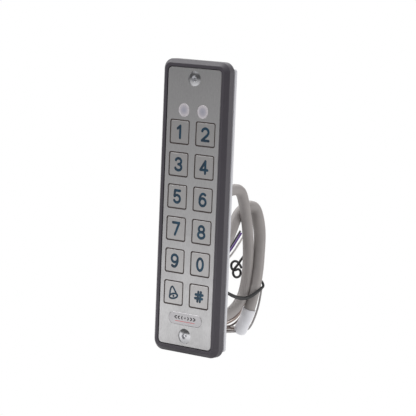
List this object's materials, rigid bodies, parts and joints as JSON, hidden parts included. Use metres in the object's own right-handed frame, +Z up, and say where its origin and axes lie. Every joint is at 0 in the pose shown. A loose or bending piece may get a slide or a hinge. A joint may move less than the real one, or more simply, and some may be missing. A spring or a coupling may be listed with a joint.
{
  "type": "rfid card reader",
  "caption": "Slim upright card reader with a keypad of metal keys in a framed metal plate, two status lights, wall screws and a coiled cable behind.",
  "frame": {"origin": "middle of the bottom of the reader, on the surface it stands on, halfway between the front rim and the tips of the wall screws", "axes": "+Z up along the reader, the face with the keys looks along -Y, +X to the right seen from the front"},
  "size_m": [0.042, 0.065, 0.15],
  "materials": {
    "bezel_plastic": "satin dark grey moulding",
    "plate_metal": "fine satin",
    "key_metal": "fine satin",
    "badge_metal": "satin",
    "screw_steel": "polished",
    "cover_plastic": "satin light grey moulding",
    "seal_rubber": "matte",
    "gland_rubber": "matte",
    "guide_plastic": "matte",
    "film_plastic": "clear amber",
    "dome_steel": "polished",
    "frosted_plastic": "frosted",
    "led_plastic": "glossy",
    "board_laminate": "solder mask",
    "wound_copper": "enamelled wire",
    "chip_plastic": "moulded",
    "can_aluminium": "drawn can",
    "jacket_vinyl": "satin warm grey",
    "sleeve_vinyl": "satin white grey",
    "wire_vinyl": "several colours",
    "tie_vinyl": "black",
    "key_print": "dark blue print"
  },
  "bodies": {
    "reader": {"antenna_coil": "wound_copper", "board_screws": "screw_steel", "buzzer": "chip_plastic", "cable_coil": "jacket_vinyl", "cable_gland": "gland_rubber", "cable_lead": "jacket_vinyl", "cable_sleeve": "sleeve_vinyl", "cable_tie": "tie_vinyl", "capacitors": "can_aluminium", "circuit_board": "board_laminate", "clock_crystal": "can_aluminium", "controller_chip": "chip_plastic", "cover_screws": "screw_steel", "dome_film": "film_plastic", "face_plate": "plate_metal", "front_bezel": "bezel_plastic", "key_guide": "guide_plastic", "lead_bundle": "wire_vinyl", "light_window_left": "frosted_plastic", "light_window_right": "frosted_plastic", "oval_badge": "badge_metal", "plate_gasket": "seal_rubber", "radio_chip": "chip_plastic", "rear_cover": "cover_plastic", "rear_seal": "seal_rubber", "snap_domes": "dome_steel", "status_leds": "led_plastic", "tamper_sensor": "chip_plastic", "tamper_window": "frosted_plastic", "voltage_regulator": "chip_plastic", "wall_screw_bottom": "screw_steel", "wall_screw_top": "screw_steel", "wire_header": "chip_plastic"},
    "button_1": {"key_1": "key_metal"},
    "button_2": {"key_2": "key_metal"},
    "button_3": {"key_3": "key_metal"},
    "button_4": {"key_4": "key_metal"},
    "button_5": {"key_5": "key_metal"},
    "button_6": {"key_6": "key_metal"},
    "button_7": {"key_7": "key_metal"},
    "button_8": {"key_8": "key_metal"},
    "button_9": {"key_9": "key_metal"},
    "button_0": {"key_0": "key_metal"},
    "button_bell": {"key_bell": "key_metal"},
    "button_hash": {"key_hash": "key_metal"}
  },
  "joints": [
    {"name": "press_1", "type": "slide", "parent": "reader", "child": "button_1", "axis": [0, 1, 0], "range_m": [0, 0.0004], "stiffness_N_per_m": 3000},
    {"name": "press_2", "type": "slide", "parent": "reader", "child": "button_2", "axis": [0, 1, 0], "range_m": [0, 0.0004], "stiffness_N_per_m": 3000},
    {"name": "press_3", "type": "slide", "parent": "reader", "child": "button_3", "axis": [0, 1, 0], "range_m": [0, 0.0004], "stiffness_N_per_m": 3000},
    {"name": "press_4", "type": "slide", "parent": "reader", "child": "button_4", "axis": [0, 1, 0], "range_m": [0, 0.0004], "stiffness_N_per_m": 3000},
    {"name": "press_5", "type": "slide", "parent": "reader", "child": "button_5", "axis": [0, 1, 0], "range_m": [0, 0.0004], "stiffness_N_per_m": 3000},
    {"name": "press_6", "type": "slide", "parent": "reader", "child": "button_6", "axis": [0, 1, 0], "range_m": [0, 0.0004], "stiffness_N_per_m": 3000},
    {"name": "press_7", "type": "slide", "parent": "reader", "child": "button_7", "axis": [0, 1, 0], "range_m": [0, 0.0004], "stiffness_N_per_m": 3000},
    {"name": "press_8", "type": "slide", "parent": "reader", "child": "button_8", "axis": [0, 1, 0], "range_m": [0, 0.0004], "stiffness_N_per_m": 3000},
    {"name": "press_9", "type": "slide", "parent": "reader", "child": "button_9", "axis": [0, 1, 0], "range_m": [0, 0.0004], "stiffness_N_per_m": 3000},
    {"name": "press_0", "type": "slide", "parent": "reader", "child": "button_0", "axis": [0, 1, 0], "range_m": [0, 0.0004], "stiffness_N_per_m": 3000},
    {"name": "press_bell", "type": "slide", "parent": "reader", "child": "button_bell", "axis": [0, 1, 0], "range_m": [0, 0.0004], "stiffness_N_per_m": 3000},
    {"name": "press_hash", "type": "slide", "parent": "reader", "child": "button_hash", "axis": [0, 1, 0], "range_m": [0, 0.0004], "stiffness_N_per_m": 3000}
  ]
}
